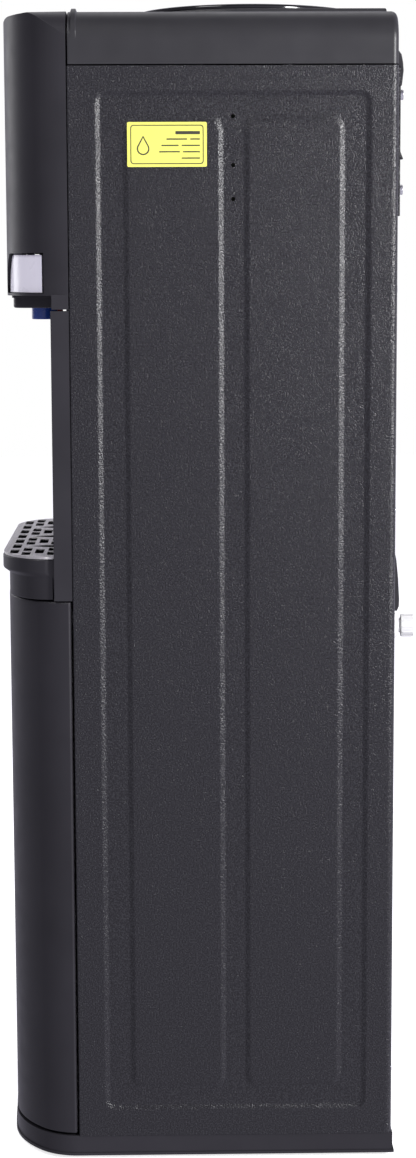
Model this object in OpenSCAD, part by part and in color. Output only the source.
/* [Cabinet] */
// Width over the side panels
cab_w = 300; // [296:1:306]
// Depth of the side panels, front edge to rear face
panel_d = 271; // [269:1:275]
// Height of the rubber feet under the plinth
foot_h = 4; // [3:0.5:6]
// Sheet steel thickness
steel_t = 1.2; // [1:0.1:1.3]
// Wall thickness of the moulded covers
wall_t = 2.2; // [2:0.1:2.2]
// Depth of the pressed field in the side panels
emboss_t = 1.5; // [1:0.1:1.6]
// Reach of the door in front of the side panels
door_reach = 60.5; // [59:0.5:61]

/* [Bottle seat] */
// Outer radius of the bottle seat ring
seat_r = 98.8; // [96:0.2:100]
// Radius of the throat that takes the bottle's neck
throat_r = 36; // [34:0.5:37]
// Distance from the side panels' front edge to the bottle's axis
seat_y = 151.7; // [150:0.1:153]

/* [Dispensing] */
// Distance of each spout from the middle
tap_x = 50; // [48:0.5:52]
// Outer radius of a spout
spout_r = 11.2; // [10.8:0.1:11.4]

/* [Drain] */
// Distance of the drain from the middle
drain_x = 100; // [98:0.5:102]
// Radius of the drain cap
cap_r = 9.5; // [9:0.1:10]

/* [Hidden] */

$fn = 48;
hw = cab_w / 2;

// Heights, measured from the underside of the plinth
plinth_h = 17.7;
door_z0 = 20;
door_z1 = 485.7;
floor_z0 = 486.8;
floor_z1 = 489;
tray_z0 = 487;
step_z = 505.5;
rim_z0 = 510.5;
grille_z0 = 521.7;
grille_z1 = 523.7;
cheek_z1 = 728.4;
skirt_z = 729.6;
lip_z0 = 740.6;
lip_z1 = 742.8;
window_z = 775.8;
paddle_z1 = 774.5;
panel_z1 = 926.1;
cover_z0 = 927.3;
cover_z1 = 971;
deck_z = 976.2;
seat_z = 980.6;

// Fore and aft places, measured from the side panels' front edge, rearwards
head_y = -59;
tray_y = -61.6;
tray_low_y = -56.2;
base_y = -62;
cheek_y = -15.5;
door_back = -1.5;
recess_back = 45;
flange_y = panel_d + 2.3;
cap_y0 = 280.6;
cap_y1 = 291;
y_mid = (base_y + cap_y1) / 2;

// Corner of the bowed front: two arc radii and the angles where they end
corner = [45, 90, 45, 86];
tray_corner = [36, 62, 48, 90];
tray_hw = hw - 4.5;
round_r = 24;

// Taps and paddles
tap_y = -25.3;
stem_r = 4;
run_gap = 0.05;
pivot_y = -43;
pivot_z = 797;
hub_x = [34, 98];
pin_r = 1.5;
tap_z0 = 748;
tap_z1 = 774;
valve_z = tap_z0 + 4;
collar_z = 788;
cage_z = 808;

// Door hinge
hinge_in = 4;
hinge_r = 1.8;

// Tanks
tank_r = 85;
tank_z0 = 748;
tank_z1 = 905;
hot_x = drain_x;
hot_y = 205;
hot_r = 36;
hot_z0 = 520;
hot_z1 = 680;
drain_z = 456.5;

// Rocker switches on the rear plate
switch_x = [112, 84];
switch_z = 860.5;
rocker_y = 266;
rocker_pin_r = 1.2;
rest_tilt = 8;

// Points of an arc about [cx, cy], first is the index it starts at
function arc(cx, cy, r, a0, a1, n = 6, first = 0) =
    [for (i = [first : n]) let (a = a0 + (a1 - a0) * i / n) [cx + r * cos(a), cy + r * sin(a)]];

function flip(pts) = [for (i = [len(pts) - 1 : -1 : 0]) [-pts[i][0], pts[i][1]]];

// Half of a bowed front in plan, from the side at x = w to just before the centre line
function bow(w, yf, inset, c) =
    let (
        c1x = w - c[0],
        c2x = c1x + (c[0] - c[1]) * cos(c[2]),
        ex = c2x + c[1] * cos(c[3]),
        sag = ex * tan((90 - c[3]) / 2),
        y1 = yf + c[0] * sin(c[2]) + c[1] * (sin(c[3]) - sin(c[2])) + sag,
        y2 = y1 - (c[0] - c[1]) * sin(c[2]),
        r3 = c[3] < 90 ? ex / cos(c[3]) : 0,
        y3 = y2 - c[1] * sin(c[3]) + r3 * sin(c[3])
    )
    concat(
        arc(c1x, y1, c[0] - inset, 0, -c[2]),
        arc(c2x, y2, c[1] - inset, -c[2], -c[3], 6, 1),
        c[3] < 90 ? arc(0, y3, r3 - inset, -c[3], -89, 2, 1) : []
    );

// Closed plan with a bowed front and a straight back at yb
function bow_plan(w, yf, yb, inset = 0, c = corner) =
    let (half = [for (p = bow(w, yf, inset, c)) if (p[1] < yb - 0.4) p])
    concat([[w - inset, yb]], half, flip(half), [[-(w - inset), yb]]);

// Rounded rectangle between two corners
function pane(x0, x1, y0, y1, r) = concat(
    arc(x1 - r, y1 - r, r, 0, 90), arc(x0 + r, y1 - r, r, 90, 180),
    arc(x0 + r, y0 + r, r, 180, 270), arc(x1 - r, y0 + r, r, 270, 360)
);

// Cross-section with rounded shoulders, seen from the front
function shoulder(w, z0, z1, r, inset = 0) = concat(
    [[-(w - inset), z0], [w - inset, z0]],
    arc(w - r, z1 - r, r - inset, 0, 90), arc(r - w, z1 - r, r - inset, 90, 180)
);

// Inner outline of the dispensing recess, widened or narrowed by grow
function recess(w, y0, yb, grow) = concat(
    [[w + grow, y0]], arc(w - recess_back, 0, recess_back + grow, 0, 90, 9),
    arc(recess_back - w, 0, recess_back + grow, 90, 180, 9), [[-w - grow, y0]]
);

module place() { translate([0, -y_mid, foot_h]) children(); }
module lift(z0, z1) { translate([0, 0, z0]) linear_extrude(z1 - z0) children(); }
module across(x0, x1) { translate([x0, 0, 0]) rotate([90, 0, 90]) linear_extrude(x1 - x0) children(); }
module along(y0, y1) { translate([0, y1, 0]) rotate([90, 0, 0]) linear_extrude(y1 - y0) children(); }
module block(x0, x1, y0, y1, z0, z1) { translate([x0, y0, z0]) cube([x1 - x0, y1 - y0, z1 - z0]); }
module rod_x(x0, x1, y, z, r) { translate([x0, y, z]) rotate([0, 90, 0]) cylinder(h = x1 - x0, r = r); }
module rod_y(x, y0, y1, z, r) { translate([x, y0, z]) rotate([-90, 0, 0]) cylinder(h = y1 - y0, r = r); }
module rod_z(x, y, z0, z1, r) { translate([x, y, z0]) cylinder(h = z1 - z0, r = r); }
module both_sides() { children(); mirror([1, 0, 0]) children(); }

// ---- Plinth ----
foot_x = hw - 38;
foot_ys = [-12, 242];
hinge_x = hinge_in - hw;
hinge_y = door_back - hinge_in;

module base_plate() {
    color("#35353a") place() difference() {
        union() {
            lift(0, 2.4) polygon(bow_plan(hw, base_y, panel_d + 2.3));
            lift(2.4, 10) polygon(bow_plan(hw, base_y, panel_d + 2.3, 1));
            lift(10, plinth_h) polygon(bow_plan(hw, base_y, panel_d - 1, 1));
        }
        difference() {
            lift(-1, plinth_h - 3) polygon(bow_plan(hw, base_y, panel_d - 2, 5));
            for (sx = [-1, 1], y = foot_ys) rod_z(sx * foot_x, y, -1, plinth_h, 15);
            for (x = [-60, 0, 60]) block(x - 1.5, x + 1.5, base_y, panel_d, -1, plinth_h);
            for (y = [45, 180]) block(-hw, hw, y - 1.5, y + 1.5, -1, plinth_h);
            rod_z(hinge_x + 3, hinge_y, -1, plinth_h, 8);
        }
        for (sx = [-1, 1], y = foot_ys) rod_z(sx * foot_x, y, -1, 9, 4);
        rod_z(hinge_x, hinge_y, 9, plinth_h + 1, hinge_r + 0.02);
    }
}

module feet() {
    color("#1b1b1d") place() for (sx = [-1, 1], y = foot_ys) {
        rod_z(sx * foot_x, y, -foot_h, 0, 12);
        rod_z(sx * foot_x, y, -1, 8, 3.9);
    }
}

// ---- Steel shell ----
field = [25, 246.5, 43, 904];
pads = [[47.5, 125.5], [146.5, 225]];
pad_z = [63.5, 884];
pad_r = 7;
flange_w = 15;
side_hole_y = 135.5;
side_hole_z = [885.6, 846.3, 818.9];

// Outline of the pressed field, widened by grow
module field_pane(grow) {
    polygon(pane(field[0] - grow, field[1] + grow, field[2] - grow, field[3] + grow, pad_r + grow));
}

module side_panel() {
    x1 = hw - emboss_t;
    difference() {
        union() {
            difference() {
                lift(plinth_h, panel_z1) polygon(concat(
                    [[hw - steel_t, 0], [hw, 0]], arc(hw - 5, panel_d - 5, 5, 0, 90),
                    [[hw - 22, panel_d], [hw - 22, panel_d - steel_t]],
                    arc(hw - 5, panel_d - 5, 5 - steel_t, 90, 0)
                ));
                across(hw - 2 * steel_t, hw + 1) field_pane(0);
            }
            across(x1 - steel_t, x1) field_pane(0);
            across(x1 - steel_t, hw) difference() {
                field_pane(steel_t);
                field_pane(0);
            }
            for (p = pads) across(x1, hw) polygon(pane(p[0], p[1], pad_z[0], pad_z[1], pad_r));
            block(hw - flange_w, hw - steel_t, 0, steel_t, plinth_h, 478);
            block(hw - flange_w, hw - steel_t, 0, steel_t, 745, panel_z1);
        }
        for (p = pads) across(x1 - steel_t - 1, hw - steel_t)
            polygon(pane(
                p[0] + steel_t, p[1] - steel_t, pad_z[0] + steel_t, pad_z[1] - steel_t, pad_r - steel_t
            ));
        for (z = side_hole_z) rod_x(hw - 5, hw + 1, side_hole_y, z, 1.7);
        for (z = plate_screw_z) rod_y(plate_screw_x, panel_d - 3, panel_d + 1, z, 2);
    }
}

module side_panel_right() { color("#2f2f33") place() side_panel(); }
module side_panel_left() { color("#2f2f33") place() mirror([1, 0, 0]) side_panel(); }

rear_y = panel_d - steel_t - 1.1;

module rear_panel() {
    color("#2a2a2d") place() difference() {
        block(-hw + 10, hw - 10, rear_y, rear_y + 1, plinth_h + 1.3, panel_z1 - 1);
        for (sx = [-1, 1], i = [0 : 14]) let (z = 70 + 24 * i)
            block(sx * 60 - 45, sx * 60 + 45, rear_y - 1, rear_y + 2, z, z + 7);
        rod_y(drain_x, rear_y - 1, rear_y + 2, drain_z, 7.2);
        block(switch_x[1] - 16, switch_x[0] + 16, rear_y - 1, rear_y + 2, switch_z - 18, switch_z + 18);
        rod_y(-60, rear_y - 1, rear_y + 2, 44, 8);
        for (x = [-plate_screw_x, plate_screw_x], z = plate_screw_z) rod_y(x, rear_y - 1, rear_y + 2, z, 2);
    }
}

plate_hw = hw - 11;
plate_z = [805, 925];
plate_screw_x = 131;
plate_screw_z = [826.5, 903.5];

module switch_plate() {
    color("#b9bcc0") place() difference() {
        block(-plate_hw, plate_hw, panel_d, flange_y, plate_z[0], plate_z[1]);
        block(
            -plate_hw + 1.2, plate_hw - 1.2, panel_d - 1, flange_y - 1.1, plate_z[0] + 1.2, plate_z[1] - 1.2
        );
        for (x = switch_x) block(x - 8, x + 8, panel_d, flange_y + 1, switch_z - 12.8, switch_z + 12.8);
        for (x = [-plate_screw_x, plate_screw_x], z = plate_screw_z) rod_y(x, panel_d, flange_y + 1, z, 2);
    }
}

shelf_z = [440, 478];
step_y = 160;
tank_shelf_z = 736.2;
tank_shelf_y = [58, 258];

// Folded sheet over the storage space, with two webs that carry the cold tank's shelf
module inner_frame() {
    w = hw - 3.2;
    color("#9a9da1") place() difference() {
        union() {
            block(-w, w, 2, step_y, shelf_z[1], shelf_z[1] + steel_t);
            block(-w, w, step_y - steel_t, step_y, shelf_z[0], shelf_z[1] + steel_t);
            block(-w, w, step_y - steel_t, rear_y - 1, shelf_z[0], shelf_z[0] + steel_t);
            block(-w, w, tank_shelf_y[0], tank_shelf_y[1], tank_shelf_z, tank_shelf_z + steel_t);
            both_sides()
                block(w - steel_t, w, tank_shelf_y[0], tank_shelf_y[1], shelf_z[0], tank_shelf_z + steel_t);
        }
        rod_z(hot_x, hot_y, shelf_z[0] - 1, shelf_z[0] + 3, 6);
        both_sides() rod_z(tap_x, seat_y, tank_shelf_z - 1, tank_shelf_z + 3, 8);
    }
}

// ---- Moulded front ----
window = [98, 71];
window_back = -21.2;
lamp_x = [-14, 0, 14];
lamp_z = 905;
lock_z = 784;
lock_x = -64;

// Blank of the head; inset 0 is its outer skin
module head_blank(inset, z0) {
    intersection() {
        lift(z0, cover_z1 + 5) polygon(bow_plan(hw, head_y, -0.4 + inset, inset));
        along(-80, 20) polygon(shoulder(hw, z0, 971.5, round_r, inset));
        across(-hw, hw) polygon(concat(
            [[-80, z0], [10, z0], [10, 972 - inset], [head_y + 9, 969.8 - inset]],
            arc(head_y + 9, 961.8, 8 - inset, 100, 180), [[head_y + 1 + inset, z0]]
        ));
    }
}

module head_window() {
    along(-80, window_back) polygon([
        [window[1], lip_z1], [hw + 1, lip_z1], [hw + 1, window_z], [window[0] + 4, window_z],
        [window[0] - 4, window_z - 1.8]
    ]);
}

// Room in the lip for the paddle's lower edge as it swings back
module paddle_groove() {
    intersection() {
        lift(lip_z1 - 1.1, lip_z1 + 1) polygon(bow_plan(hw, head_y, 10, 1.4));
        block(window[1] - 1, hw, -80, window_back + 4, lip_z0, lip_z1 + 1);
    }
}

module head_cover() {
    color("#3c3c41") place() difference() {
        union() {
            difference() {
                head_blank(0, lip_z0);
                head_blank(wall_t, lip_z1);
                block(-hw + 20, hw - 20, -18, 1, lip_z1, cover_z1 - 6);
                both_sides() head_window();
                both_sides() paddle_groove();
            }
            both_sides() block(hw - wall_t, hw - 0.05, -14.5, -0.5, skirt_z, lip_z0 + 1);
            both_sides() for (b = [[hub_x[0] - 4, -57.5], [hub_x[1] + 1, -50.8]]) difference() {
                block(b[0], b[0] + 3, b[1], pivot_y + 5, pivot_z - 6, pivot_z + 5);
                rod_x(b[0] - 1, b[0] + 4, pivot_y, pivot_z, pin_r + 0.02);
            }
        }
        both_sides() rod_z(tap_x, tap_y, lip_z0 - 1, lip_z1 + 1, spout_r + 0.8);
        for (x = lamp_x) rod_y(x, -62, -50, lamp_z, 2.6);
        block(lock_x - 4.5, lock_x + 9.5, -62, -50, lock_z - 4.2, lock_z + 4.2);
    }
}

module indicator_lights() {
    color("#d8e6d8") place() for (x = lamp_x) {
        rod_y(x, head_y - 0.4, -51, lamp_z, 2.5);
        rod_y(x, -54.5, -51, lamp_z, 4);
    }
}

module child_lock() {
    color("#b3202a") place() {
        block(lock_x - 4, lock_x + 4, -58.4, -53.5, lock_z - 4, lock_z + 4);
        block(lock_x - 10, lock_x + 10, -53.8, -51.6, lock_z - 6.5, lock_z + 6.5);
    }
}

module recess_panel() {
    w = tray_hw;
    color("#3a3a3e") place() difference() {
        union() {
            lift(floor_z0, 735.5) polygon(recess(w, -0.4, recess_back, 3));
            lift(floor_z0, cheek_z1) both_sides() translate([w, cheek_y]) square([hw - w, 0.6 - cheek_y]);
            block(-hw, hw, cheek_y, 0.6, floor_z0, floor_z1);
        }
        lift(floor_z1, 733.3) polygon(recess(w, cheek_y - 1, recess_back, 0));
        both_sides() block(hw - 1.45, hw + 1, -0.4, 1, floor_z0 - 1, 740);
        both_sides() block(w - 1, hw + 1, -0.4, 1, cheek_z1, 740);
        rod_z(hinge_x, hinge_y, floor_z0 - 1, floor_z1, hinge_r + 0.02);
    }
}

// ---- Top ----
module top_cover() {
    color("#46464b") place() difference() {
        union() {
            intersection() {
                along(cover_y0, panel_d - 0.2) polygon(shoulder(hw, cover_z0, cover_z1, round_r));
                across(-hw, hw) polygon(concat(
                    [[0, cover_z0], [panel_d - 0.2, cover_z0]],
                    arc(panel_d - 6.2, cover_z1 - 6, 6, 0, 90), [[0, cover_z1]]
                ));
            }
            lift(cover_z1 - 3, deck_z) union() {
                translate([0, seat_y]) circle(r = deck_r, $fn = 96);
                translate([-deck_r, seat_y]) square([2 * deck_r, 265 - seat_y]);
            }
            along(2.6, 8.6) polygon(concat(
                [[-hw, cover_z1 - round_r], [hw, cover_z1 - round_r]],
                [for (a = [0 : 15 : 90]) [hw - round_r + (round_r + rib_h * sin(a)) * cos(a),
                    cover_z1 - round_r + (round_r + rib_h * sin(a)) * sin(a)]],
                [for (a = [90 : 15 : 180]) [round_r - hw + (round_r + rib_h * sin(a)) * cos(a),
                    cover_z1 - round_r + (round_r + rib_h * sin(a)) * sin(a)]]
            ));
        }
        along(4, panel_d - 2.6) polygon(shoulder(hw, cover_z0 - 1, cover_z1, round_r, wall_t));
        rod_z(0, seat_y, cover_z0, deck_z + 1, hole_r);
    }
}

cover_y0 = 0.8;
deck_r = 105;
rib_h = 2.6;
hole_r = 86;

module seat_ring() {
    t = 2.6;
    color("#151517") place() translate([0, seat_y, 0]) rotate_extrude($fn = 96) polygon(concat(
        [[seat_r, deck_z]], arc(seat_r - 2.2, seat_z - 2.2, 2.2, 0, 90, 4),
        [[84, seat_z], [78, seat_z - 3], [46, 948], [throat_r, 940], [throat_r, 897],
        [throat_r + t, 897], [throat_r + t, 938], [48, 945.5], [80, 972], [83, deck_z]]
    ));
}

module feed_probe() {
    color("#e9e9ee") place() translate([0, seat_y, 0]) difference() {
        union() {
            rod_z(0, 0, 884, 950, 9.5);
            rod_z(0, 0, 950, 956, 7.5);
            rod_z(0, 0, 895, 897, throat_r);
        }
        rod_z(0, 0, 880, 951, 5.5);
        rod_x(-12, 12, 0, 944, 3);
        rod_y(0, -12, 12, 944, 3);
        for (a = [45 : 90 : 315]) rotate([0, 0, a]) rod_z(22, 0, 894, 898, 6);
    }
}

// ---- Taps ----
module tap_shroud() {
    color("#1c1c1e") place() difference() {
        union() {
            lift(738.6, lip_z0) polygon(pane(-103, 103, -50.5, -1.5, 8));
            lift(730, 738.6) polygon(pane(-100, 100, -49.5, -3, 10));
        }
        lift(732, lip_z0 + 1) polygon(pane(-97.5, 97.5, -47, -5.5, 8));
        both_sides() rod_z(tap_x, tap_y, 729, 741, spout_r + 0.8);
    }
}

module spout() {
    translate([tap_x, tap_y, 0]) difference() {
        union() {
            rod_z(0, 0, 719.5, tap_z0, spout_r);
            rod_z(0, 0, 743.2, 745.5, spout_r + 2.5);
        }
        rod_z(0, 0, 718, 742, 6.5);
        rod_z(0, 0, 718, tap_z0 + 1, 4.5);
    }
}

module cold_spout() { color("#2450a8") place() spout(); }
module hot_spout() { color("#b3202a") place() mirror([1, 0, 0]) spout(); }

module tap_body() {
    translate([tap_x, tap_y, 0]) difference() {
        union() {
            rod_z(0, 0, tap_z0, tap_z1, 14);
            rod_y(0, 0, 46, 757, 7);
            for (sx = [-1, 1]) block(sx * 11 - 1.5, sx * 11 + 1.5, 2.5, 8, tap_z1 - 2, cage_z + 2);
            difference() {
                rod_z(0, 0, cage_z, cage_z + 3, 12.5);
                rod_z(0, 0, cage_z - 1, cage_z + 4, stem_r + 0.5);
            }
        }
        rod_z(0, 0, tap_z0 - 1, valve_z + 1, 4.5);
        rod_z(0, 0, valve_z, tap_z1 - 6, 7);
        rod_z(0, 0, tap_z1 - 7, tap_z1 + 1, stem_r + run_gap);
        rod_y(0, 4, 47, 757, 4.5);
    }
}

module cold_tap_body() { color("#e6e6ea") place() tap_body(); }
module hot_tap_body() { color("#e6e6ea") place() mirror([1, 0, 0]) tap_body(); }

module stem() {
    translate([tap_x, tap_y, 0]) {
        rod_z(0, 0, valve_z + run_gap, 816, stem_r);
        rod_z(0, 0, valve_z + run_gap, valve_z + 3, 6.3);
        rod_z(0, 0, collar_z, collar_z + 2.5, 7.2);
    }
}

module cold_stem() { color("#cfd2d6") place() stem(); }
module hot_stem() { color("#cfd2d6") place() mirror([1, 0, 0]) stem(); }

// Coil spring swept round the stem: rings of eight points along a helix
spring_wire = 0.55;
spring_turns = 4.5;
spring_steps = 54;
spring_r = 5.6;

module valve_spring() {
    z0 = collar_z + 2.5 + spring_wire;
    rise = cage_z - spring_wire - z0;
    tilt = atan(rise / (2 * PI * spring_r * spring_turns));
    points = [for (i = [0 : spring_steps], k = [0 : 7])
        let (a = 360 * spring_turns * i / spring_steps, b = 45 * k + 22.5, u = spring_wire * cos(b),
            v = spring_wire * sin(b) * cos(tilt), s = spring_wire * sin(b) * sin(tilt))
        [(spring_r + u) * cos(a) + s * sin(a), (spring_r + u) * sin(a) - s * cos(a),
            z0 + rise * i / spring_steps + v]];
    sides = [for (i = [0 : spring_steps - 1], k = [0 : 7])
        [8 * i + k, 8 * (i + 1) + k, 8 * (i + 1) + (k + 1) % 8, 8 * i + (k + 1) % 8]];
    ends = [[for (k = [0 : 7]) k], [for (k = [7 : -1 : 0]) 8 * spring_steps + k]];
    translate([tap_x, tap_y, 0]) polyhedron(points, concat(sides, ends));
}

module cold_valve_spring() { color("#b0b3b8") place() valve_spring(); }
module hot_valve_spring() { color("#b0b3b8") place() mirror([1, 0, 0]) valve_spring(); }

// Paddle: a skin that follows the head inside its window, a hub on the pin and a fork under the stem's collar
paddle_in = wall_t + 0.4;
fork_gap = 0.5;

module paddle() {
    difference() {
        union() {
            intersection() {
                lift(lip_z1 + 0.5, paddle_z1 - 0.2) difference() {
                    polygon(bow_plan(hw, head_y, 10, paddle_in));
                    translate([0, 1]) polygon(bow_plan(hw, head_y, 12, paddle_in + 2.2));
                }
                along(-80, window_back - 1.3) polygon([
                    [window[1] + 2, lip_z1], [hw, lip_z1], [hw, paddle_z1], [window[0] + 3, paddle_z1],
                    [window[0] - 4, paddle_z1 - 2.2]
                ]);
            }
            for (a = [[84, 751, -51.2], [92, 756, -50.4]]) across(a[0], a[0] + 3) polygon([
                [pivot_y - 3.6, pivot_z], [pivot_y + 3.6, pivot_z], [pivot_y + 1, 770], [pivot_y - 3, 746],
                [a[2], 746], [a[2], a[1]], [pivot_y - 6, a[1] + 14]
            ]);
            rod_x(hub_x[0], hub_x[1], pivot_y, pivot_z, 4.2);
            for (dx = [-8.5, 5]) across(tap_x + dx, tap_x + dx + 3.5) polygon([
                [pivot_y - 3, pivot_z], [pivot_y + 3.6, pivot_z],
                [tap_y - 9, collar_z - 2], [tap_y - 2, collar_z - 2],
                [tap_y - 2, collar_z - fork_gap], [tap_y + 2, collar_z - fork_gap], [tap_y + 3, collar_z - 5],
                [pivot_y + 4, collar_z - 5]
            ]);
        }
        rod_x(hub_x[0] - 1, hub_x[1] + 1, pivot_y, pivot_z, pin_r + run_gap);
    }
}

module cold_paddle() { color("#e4e3ee") place() paddle(); }
module hot_paddle() { color("#e4e3ee") place() mirror([1, 0, 0]) paddle(); }
module paddle_pins() {
    color("#c8c8cc") place() both_sides() rod_x(hub_x[0] - 4, hub_x[1] + 4, pivot_y, pivot_z, pin_r);
}

// ---- Drip tray ----
function tray_plan(yf, inset) = concat(
    [[tray_hw - 1 - inset, cheek_y - 0.6]],
    [for (p = bow(tray_hw, yf, inset, tray_corner)) if (p[1] < cheek_y - 1) p],
    flip([for (p = bow(tray_hw, yf, inset, tray_corner)) if (p[1] < cheek_y - 1) p]),
    [[-(tray_hw - 1 - inset), cheek_y - 0.6]]
);

// Plan of the tray's inside, drawn in by g
module basin(front, g) {
    intersection() {
        polygon(recess(tray_hw, front, recess_back, -5 - g));
        polygon(bow_plan(tray_hw, tray_low_y, 60, 2.4 + g, tray_corner));
    }
}

module drip_tray() {
    steps = 4;
    color("#36363a") place() difference() {
        union() {
            lift(tray_z0, step_z) polygon(tray_plan(tray_low_y, 0));
            for (i = [0 : steps - 1]) let (dz = (rim_z0 - step_z) / steps)
                lift(step_z + dz * i, step_z + dz * (i + 1))
                    polygon(tray_plan(tray_low_y + (tray_y - tray_low_y) * (i + 0.5) / steps, 0));
            lift(rim_z0, grille_z0) polygon(tray_plan(tray_y, 0));
            lift(floor_z1 + 0.3, grille_z0) polygon(recess(tray_hw, cheek_y - 1, recess_back, -1));
        }
        lift(floor_z1 + 2.6, grille_z0 + 1) basin(-70, 0);
    }
}

lens_x = [-70.8, 0, 70.8];
lens_y = -10.5;
lens_r = 51.5;
lens_half = 9;

// Slots of the grille, each [x, y, length, width], as rows across the tray
grille_slots = concat(
    [for (i = [-3 : 3]) [35.4 * i, -50.8, 26, 7.4]],
    [for (i = [-2 : 2]) [35.4 * i, 31, 26, 7.4]],
    [for (y = [-40.3, -18.8, 11.6], s = [-1, 1], x = [22, 49, 93, 120]) [s * x, y, 22, 7.4]],
    [for (y = [-29.5, -8, 2.3, 21], s = [-1, 1], x = [35.4, 106]) [s * x, y, 28, 7.6]]
);

module drip_grille() {
    color("#c9cbce") place() difference() {
        union() {
            lift(grille_z0, grille_z1) polygon(tray_plan(tray_y, 0.2));
            lift(grille_z0, grille_z1) polygon(recess(tray_hw, cheek_y - 1, recess_back, -1.4));
            lift(grille_z0 - 3, grille_z0) difference() {
                basin(-46, 1);
                basin(-44, 3);
            }
        }
        for (h = grille_slots) translate([h[0], h[1], 0])
            block(-h[2] / 2, h[2] / 2, -h[3] / 2, h[3] / 2, grille_z0 - 4, grille_z1 + 1);
        for (x = lens_x) lift(grille_z0 - 4, grille_z1 + 1) intersection() {
            translate([x - lens_r + lens_half, lens_y]) circle(r = lens_r, $fn = 96);
            translate([x + lens_r - lens_half, lens_y]) circle(r = lens_r, $fn = 96);
        }
    }
}

// ---- Door ----
door_t = 2.5;

function door_plan(inset) = concat(
    [[hw - inset - 2.5, door_back]], arc(hw - inset - 2.5, door_back - 2.5, 2.5, 75, 0, 3),
    [for (p = bow(hw, -door_reach, inset, corner)) if (p[1] < door_back - 4) p],
    flip([for (p = bow(hw, -door_reach, inset, corner)) if (p[1] < door_back - 4) p]),
    arc(inset + 2.5 - hw, door_back - 2.5, 2.5, 180, 105, 3), [[inset + 2.5 - hw, door_back]]
);

module door_outer() {
    color("#3f3f44") place() difference() {
        union() {
            difference() {
                lift(door_z0, door_z1) polygon(door_plan(0));
                lift(door_z0 + door_t, door_z1 - door_t) intersection() {
                    polygon(bow_plan(hw, -door_reach, 10, door_t));
                    square([2 * hw, 200], center = true);
                }
            }
            for (z = [[door_z0, door_z0 + 14], [door_z1 - 14, door_z1]])
                block(hinge_x - 3.9, hinge_x + 6, hinge_y - 6, door_back - 2.5, z[0], z[1]);
        }
        rod_z(hinge_x, hinge_y, door_z0 - 1, door_z0 + 9, hinge_r + run_gap);
        rod_z(hinge_x, hinge_y, door_z1 - 9, door_z1 + 1, hinge_r + run_gap);
        block(-hw - 1, hw + 1, door_back - 0.05, 12, door_z0 - 1, door_z1 + 1);
        block(40, 84, -door_reach - 2, -door_reach + 1.6, 380, 446);
    }
}

module door_liner() {
    color("#d5d5d8") place() difference() {
        union() {
            block(-hw + 12, hw - 3, -4.2, door_back - 0.1, door_z0 + 3, door_z1 - 3);
            for (z = [120, 300]) block(-100, 100, -38, -4, z, z + 2);
        }
        block(catch_x[0] + 2, catch_x[1] - 2, door_back - 1.3, door_back + 1, catch_z[0] + 1, catch_z[1] - 1);
    }
}

catch_x = [100, 132];
catch_z = [463, 475];

module strike_plate() {
    color("#a9acb0") place() block(
        catch_x[0] + 2.2, catch_x[1] - 2.2, door_back - 1.25, door_back - 0.1,
        catch_z[0] + 1.2, catch_z[1] - 1.2
    );
}

module magnet_catch() {
    color("#6b6e73") place() block(catch_x[0], catch_x[1], door_back + 0.4, 20, catch_z[0], catch_z[1]);
}

module hinge_pins() {
    color("#c8c8cc") place() {
        rod_z(hinge_x, hinge_y, 9.5, door_z0 + 8, hinge_r);
        rod_z(hinge_x, hinge_y, door_z1 - 8, floor_z1, hinge_r);
    }
}

liner_x = 133;
liner_z = [24, 474];

module storage_liner() {
    color("#dcdcdf") place() difference() {
        union() {
            block(-liner_x, liner_x, 0.2, 157, liner_z[0], liner_z[1]);
            block(-hw + flange_w + 0.2, hw - flange_w - 0.2, -0.6, 0.9, plinth_h + 1, 477);
        }
        block(-liner_x + 2, liner_x - 2, -2, 155, liner_z[0] + 2, liner_z[1] - 2);
        block(catch_x[0] - 0.5, catch_x[1] + 4, -2, 21, catch_z[0] - 0.5, catch_z[1] + 0.5);
    }
}

module storage_shelf() {
    color("#e6e6e9") place() difference() {
        block(-liner_x + 2.3, liner_x - 2.3, 8, 154, 240, 243);
        for (i = [-4 : 4]) block(26 * i - 8, 26 * i + 8, 30, 135, 239, 244);
    }
}

// ---- Water system ----
module cold_tank() {
    color("#b7babf") place() translate([0, seat_y, 0]) difference() {
        union() {
            rod_z(0, 0, tank_z0, tank_z1, tank_r);
            rod_z(0, 0, tank_z1 - 1.5, tank_z1, tank_r + 8);
        }
        rod_z(0, 0, tank_z0 + 1, tank_z1 + 1, tank_r - 1);
        rod_z(tap_x, 0, tank_z0 - 1, tank_z0 + 2, 6);
        rod_z(-tap_x, 0, tank_z0 - 1, tank_z0 + 2, 6);
    }
}

module tank_gasket() {
    color("#8c2f2f") place() translate([0, seat_y, 0]) difference() {
        rod_z(0, 0, tank_z1, tank_z1 + 1.5, tank_r + 8);
        rod_z(0, 0, tank_z1 - 1, tank_z1 + 2, tank_r - 1);
    }
}

module tank_lid() {
    color("#e2e2e5") place() translate([0, seat_y, 0]) difference() {
        rod_z(0, 0, tank_z1 + 1.5, tank_z1 + 4, tank_r + 8);
        rod_z(0, 0, tank_z1, tank_z1 + 5, throat_r + 2.9);
    }
}

module baffle_disc() {
    color("#f0f0f2") place() translate([0, seat_y, 0]) difference() {
        union() {
            rod_z(0, 0, 838, 841, tank_r - 4);
            rod_z(0, 0, 790, 880, 6);
        }
        rod_z(0, 0, 788, 881, 4);
        for (a = [0 : 60 : 300]) rotate([0, 0, a]) rod_z(60, 0, 837, 842, 5);
    }
}

coil_wire = 3;

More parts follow.
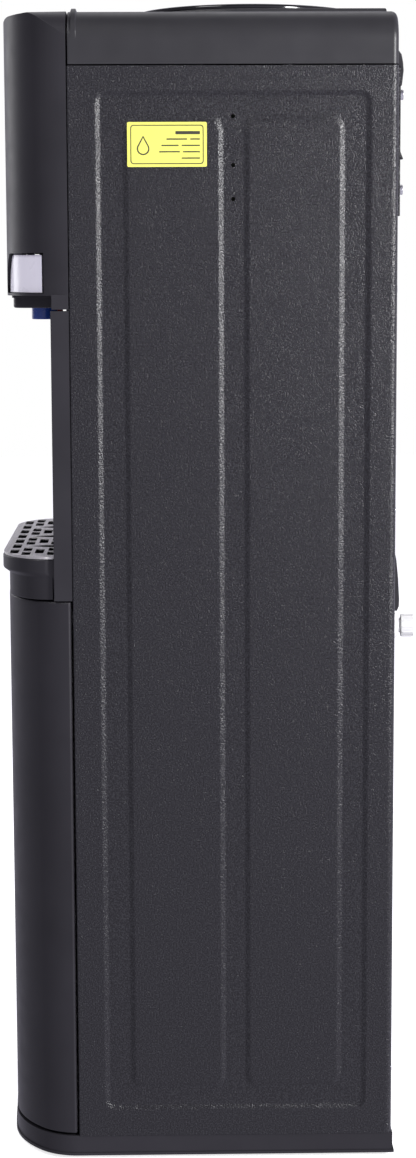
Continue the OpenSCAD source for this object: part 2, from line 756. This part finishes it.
module cold_insulation() {
    color("#efe9d2") place() translate([0, seat_y, 0]) difference() {
        rod_z(0, 0, 737.5, tank_z1 - 1.6, tank_r + 21);
        rod_z(0, 0, tank_z0, tank_z1, tank_r + 8);
        rod_z(0, 0, tank_z0 - 0.1, tank_z1, tank_r + 0.2);
        for (sx = [-1, 1]) rod_z(sx * tap_x, 0, 736, tank_z0 + 1, 8);
        translate([-40, tank_r + 4, 845]) cube([80, 30, 34]);
    }
}

module evaporator_coil() {
    color("#b5683a") place() translate([0, seat_y, 0]) for (i = [0 : 6])
        translate([0, 0, 766 + 18 * i]) rotate_extrude()
            translate([tank_r + 0.4 + coil_wire, 0]) circle(r = coil_wire, $fn = 24);
}

module hot_tank() {
    color("#b7babf") place() translate([hot_x, hot_y, 0]) difference() {
        union() {
            rod_z(0, 0, hot_z0, hot_z1, hot_r);
            rod_z(0, 0, hot_z1, hot_z1 + 18, 5);
        }
        rod_z(0, 0, hot_z0 + 1.5, hot_z1 - 1.5, hot_r - 1.5);
        rod_z(0, 0, hot_z1 - 2, hot_z1 + 19, 3.8);
        rod_z(0, 0, hot_z0 - 1, hot_z0 + 2, 3.8);
    }
}

module hot_insulation() {
    color("#efe9d2") place() translate([hot_x, hot_y, 0]) difference() {
        rod_z(0, 0, shelf_z[0] + steel_t, hot_z1 + 8, hot_r + 8);
        rod_z(0, 0, hot_z0, hot_z1, hot_r + 2.2);
        rod_z(0, 0, hot_z0 - 0.1, hot_z1 + 0.1, hot_r + 0.1);
        rod_z(0, 0, shelf_z[0], hot_z1 + 9, 6.5);
        translate([-6.5, 0, shelf_z[0]]) cube([13, hot_r + 9, 24]);
    }
}

module heater_band() {
    color("#8f6b3a") place() translate([hot_x, hot_y, 0]) difference() {
        rod_z(0, 0, 560, 610, hot_r + 2);
        rod_z(0, 0, 559, 611, hot_r);
    }
}

module thermostats() {
    color("#f2f2f2") place() for (sx = [-1, 1]) translate([hot_x + 24 * sx, hot_y, hot_z1 + 8]) {
        rod_z(0, 0, 0, 5, 9);
        block(-5, 5, -2, 2, 5, 10);
    }
}

// Pipes from the tanks to the two taps, in straight runs that meet in elbows
module pipe_run(points, r) {
    for (i = [0 : len(points) - 2]) let (a = points[i], b = points[i + 1], d = b - a, n = norm(d))
        translate(a) rotate([0, acos(d[2] / n), atan2(d[1], d[0])]) cylinder(h = n, r = r);
    for (i = [1 : len(points) - 2]) translate(points[i]) sphere(r = r + 0.5);
}

drop_y = 52;

module water_pipes() {
    y0 = tap_y + 46;
    color("#e8ecef") place() {
        pipe_run([[tap_x, y0, 757], [tap_x, drop_y, 757], [tap_x, drop_y, 731], [tap_x, seat_y, 731],
            [tap_x, seat_y, tank_z0]], 3.2);
        pipe_run([[-tap_x, y0, 757], [-tap_x, drop_y, 757], [-tap_x, drop_y, 714], [hot_x, drop_y, 714],
            [hot_x, hot_y, 714], [hot_x, hot_y, hot_z1 + 18]], 3.2);
    }
}

// ---- Cooling system ----
module compressor() {
    color("#161618") place() translate([-50, 212, 0]) {
        rotate_extrude() polygon(concat(
            [[0, 31], [44, 31]], arc(30, 55, 18, -50, 0, 4), arc(20, 120, 28, 0, 90), [[0, 148]]
        ));
        block(-62, 62, -38, 38, 28.7, 31.5);
        rod_z(52, 0, 31, 70, 5);
    }
}

module compressor_grommets() {
    color("#26262a") place() for (sx = [-1, 1], sy = [-1, 1]) difference() {
        rod_z(-50 + sx * 54, 212 + sy * 30, plinth_h, 28.7, 8);
        rod_z(-50 + sx * 54, 212 + sy * 30, plinth_h - 1, 30, 3);
    }
}

pass_n = 12;
pass_pitch = 30;
pass_x = 112;

module condenser() {
    y = rear_y - 5;
    color("#101012") place() {
        for (i = [0 : pass_n - 1]) rod_x(-pass_x, pass_x, y, 70 + pass_pitch * i, 2.4);
        for (i = [0 : pass_n - 2]) translate([(i % 2 == 0 ? 1 : -1) * pass_x, y, 70 + pass_pitch * (i + 0.5)])
            rotate([90, i % 2 == 0 ? 0 : 180, 0]) rotate([0, 0, -90]) rotate_extrude(angle = 180)
                translate([pass_pitch / 2, 0]) circle(r = 2.4, $fn = 24);
    }
}

// ---- Electrical ----
module switch_housings() {
    color("#1a1a1c") place() for (x = switch_x) difference() {
        union() {
            block(x - 9.8, x + 9.8, flange_y, flange_y + 1.3, switch_z - 14.6, switch_z + 14.6);
            block(x - 7.9, x + 7.9, 250, flange_y, switch_z - 12.7, switch_z + 12.7);
        }
        block(x - 6.5, x + 6.5, 252, flange_y + 2, switch_z - 11.6, switch_z + 11.6);
        rod_x(x - 8, x + 8, rocker_y, switch_z, rocker_pin_r + run_gap);
    }
}

module rocker(x) {
    translate([x, rocker_y, switch_z]) {
        rotate([rest_tilt, 0, 0]) across(-6.3, 6.3) polygon([
            [-4, -4], [8, -10], [10.6, -10], [9.2, -4], [8.8, 0], [9.2, 4], [10.6, 10], [8, 10], [-4, 4]
        ]);
        rod_x(-7.8, 7.8, 0, 0, rocker_pin_r);
    }
}

module cold_switch() { color("#141416") place() rocker(switch_x[0]); }
module hot_switch() { color("#141416") place() rocker(switch_x[1]); }

module power_gland() {
    color("#18181a") place() difference() {
        union() {
            rod_y(-60, rear_y - 6, rear_y + 9, 44, 7.9);
            rod_y(-60, rear_y + 1, rear_y + 4, 44, 11);
        }
        rod_y(-60, rear_y - 7, rear_y + 10, 44, 4.2);
    }
}

// ---- Rear fittings ----
module cover_clip() {
    color("#1c1c1e") place() across(118, 132) polygon([
        [panel_d - 0.2, 927.6], [panel_d - 0.2, 941],
        [flange_y + 1.2, 936], [flange_y + 2.4, 930], [flange_y + 3, 923],
        [flange_y + 1.6, 911], [flange_y, 911], [flange_y, 926], [panel_d + 1, 927.6]
    ]);
}

module drain_pipe() {
    color("#f4f4f4") place() difference() {
        union() {
            rod_y(drain_x, hot_y, cap_y0 + 7, drain_z, 6);
            rod_z(hot_x, hot_y, drain_z, hot_z0, 6 - 0.4);
            translate([drain_x, 0, drain_z]) rotate([-90, 0, 0]) rotate_extrude() polygon([
                [0, rear_y + 1], [12.4, rear_y + 1], [12.4, rear_y + 4],
                [9.4, cap_y0 - 2.6], [0, cap_y0 - 0.6]
            ]);
        }
        rod_y(drain_x, hot_y, cap_y0 + 8, drain_z, 3.6);
        rod_z(hot_x, hot_y, drain_z, hot_z0 + 1, 3.6);
    }
}

module drain_seal() {
    color("#3a3a3c") place() rod_y(drain_x, cap_y0 + 7.2, cap_y0 + 8.4, drain_z, 7.2);
}

module drain_cap() {
    color("#f2f2f4") place() difference() {
        union() {
            rod_y(drain_x, cap_y0, cap_y1, drain_z, cap_r);
            for (a = [0 : 30 : 330]) translate([drain_x, 0, drain_z]) rotate([0, a, 0])
                rod_y(cap_r - 0.3, cap_y0 + 1, cap_y1 - 1, 0, 0.7);
        }
        rod_y(drain_x, cap_y0 - 1, cap_y0 + 7.1, drain_z, 6.1);
        rod_y(drain_x, cap_y0 + 7, cap_y0 + 8.5, drain_z, 7.3);
    }
}

module drain_hood() {
    y0 = panel_d + 0.2;
    color("#1a1a1c") place() across(84, 132) polygon([
        [y0, 474], [y0, 528], [y0 + 2.2, 518], [y0 + 3.8, 502],
        [y0 + 4.8, 484], [y0 + 4.6, 478], [y0 + 3, 474]
    ]);
}

edge_screw_z = [70, 300, 560, 745];

module screws() {
    color("#c4c6ca") place() {
        for (x = [-plate_screw_x, plate_screw_x], z = plate_screw_z) {
            rod_y(x, 262, flange_y, z, 1.9);
            rod_y(x, flange_y, flange_y + 2.8, z, 4.2);
        }
        for (sx = [-1, 1], z = edge_screw_z) rod_y(sx * 131, panel_d, panel_d + 1.4, z, 3.4);
    }
}

sticker = [49, 114, 845, 881];

module warning_sticker() {
    color("#e8c21a") place() across(hw, hw + 0.25)
        polygon(pane(sticker[0], sticker[1], sticker[2], sticker[3], 3));
}

base_plate();
feet();
side_panel_left();
side_panel_right();
rear_panel();
switch_plate();
inner_frame();
head_cover();
recess_panel();
top_cover();
seat_ring();
feed_probe();
tap_shroud();
cold_tap_body();
hot_tap_body();
cold_spout();
hot_spout();
cold_stem();
hot_stem();
cold_valve_spring();
hot_valve_spring();
cold_paddle();
hot_paddle();
paddle_pins();
child_lock();
indicator_lights();
drip_tray();
drip_grille();
door_outer();
door_liner();
hinge_pins();
magnet_catch();
strike_plate();
storage_liner();
storage_shelf();
cold_tank();
tank_lid();
tank_gasket();
baffle_disc();
cold_insulation();
evaporator_coil();
hot_tank();
hot_insulation();
heater_band();
thermostats();
water_pipes();
compressor();
compressor_grommets();
condenser();
switch_housings();
cold_switch();
hot_switch();
cover_clip();
drain_pipe();
drain_seal();
drain_cap();
drain_hood();
power_gland();
screws();
warning_sticker();
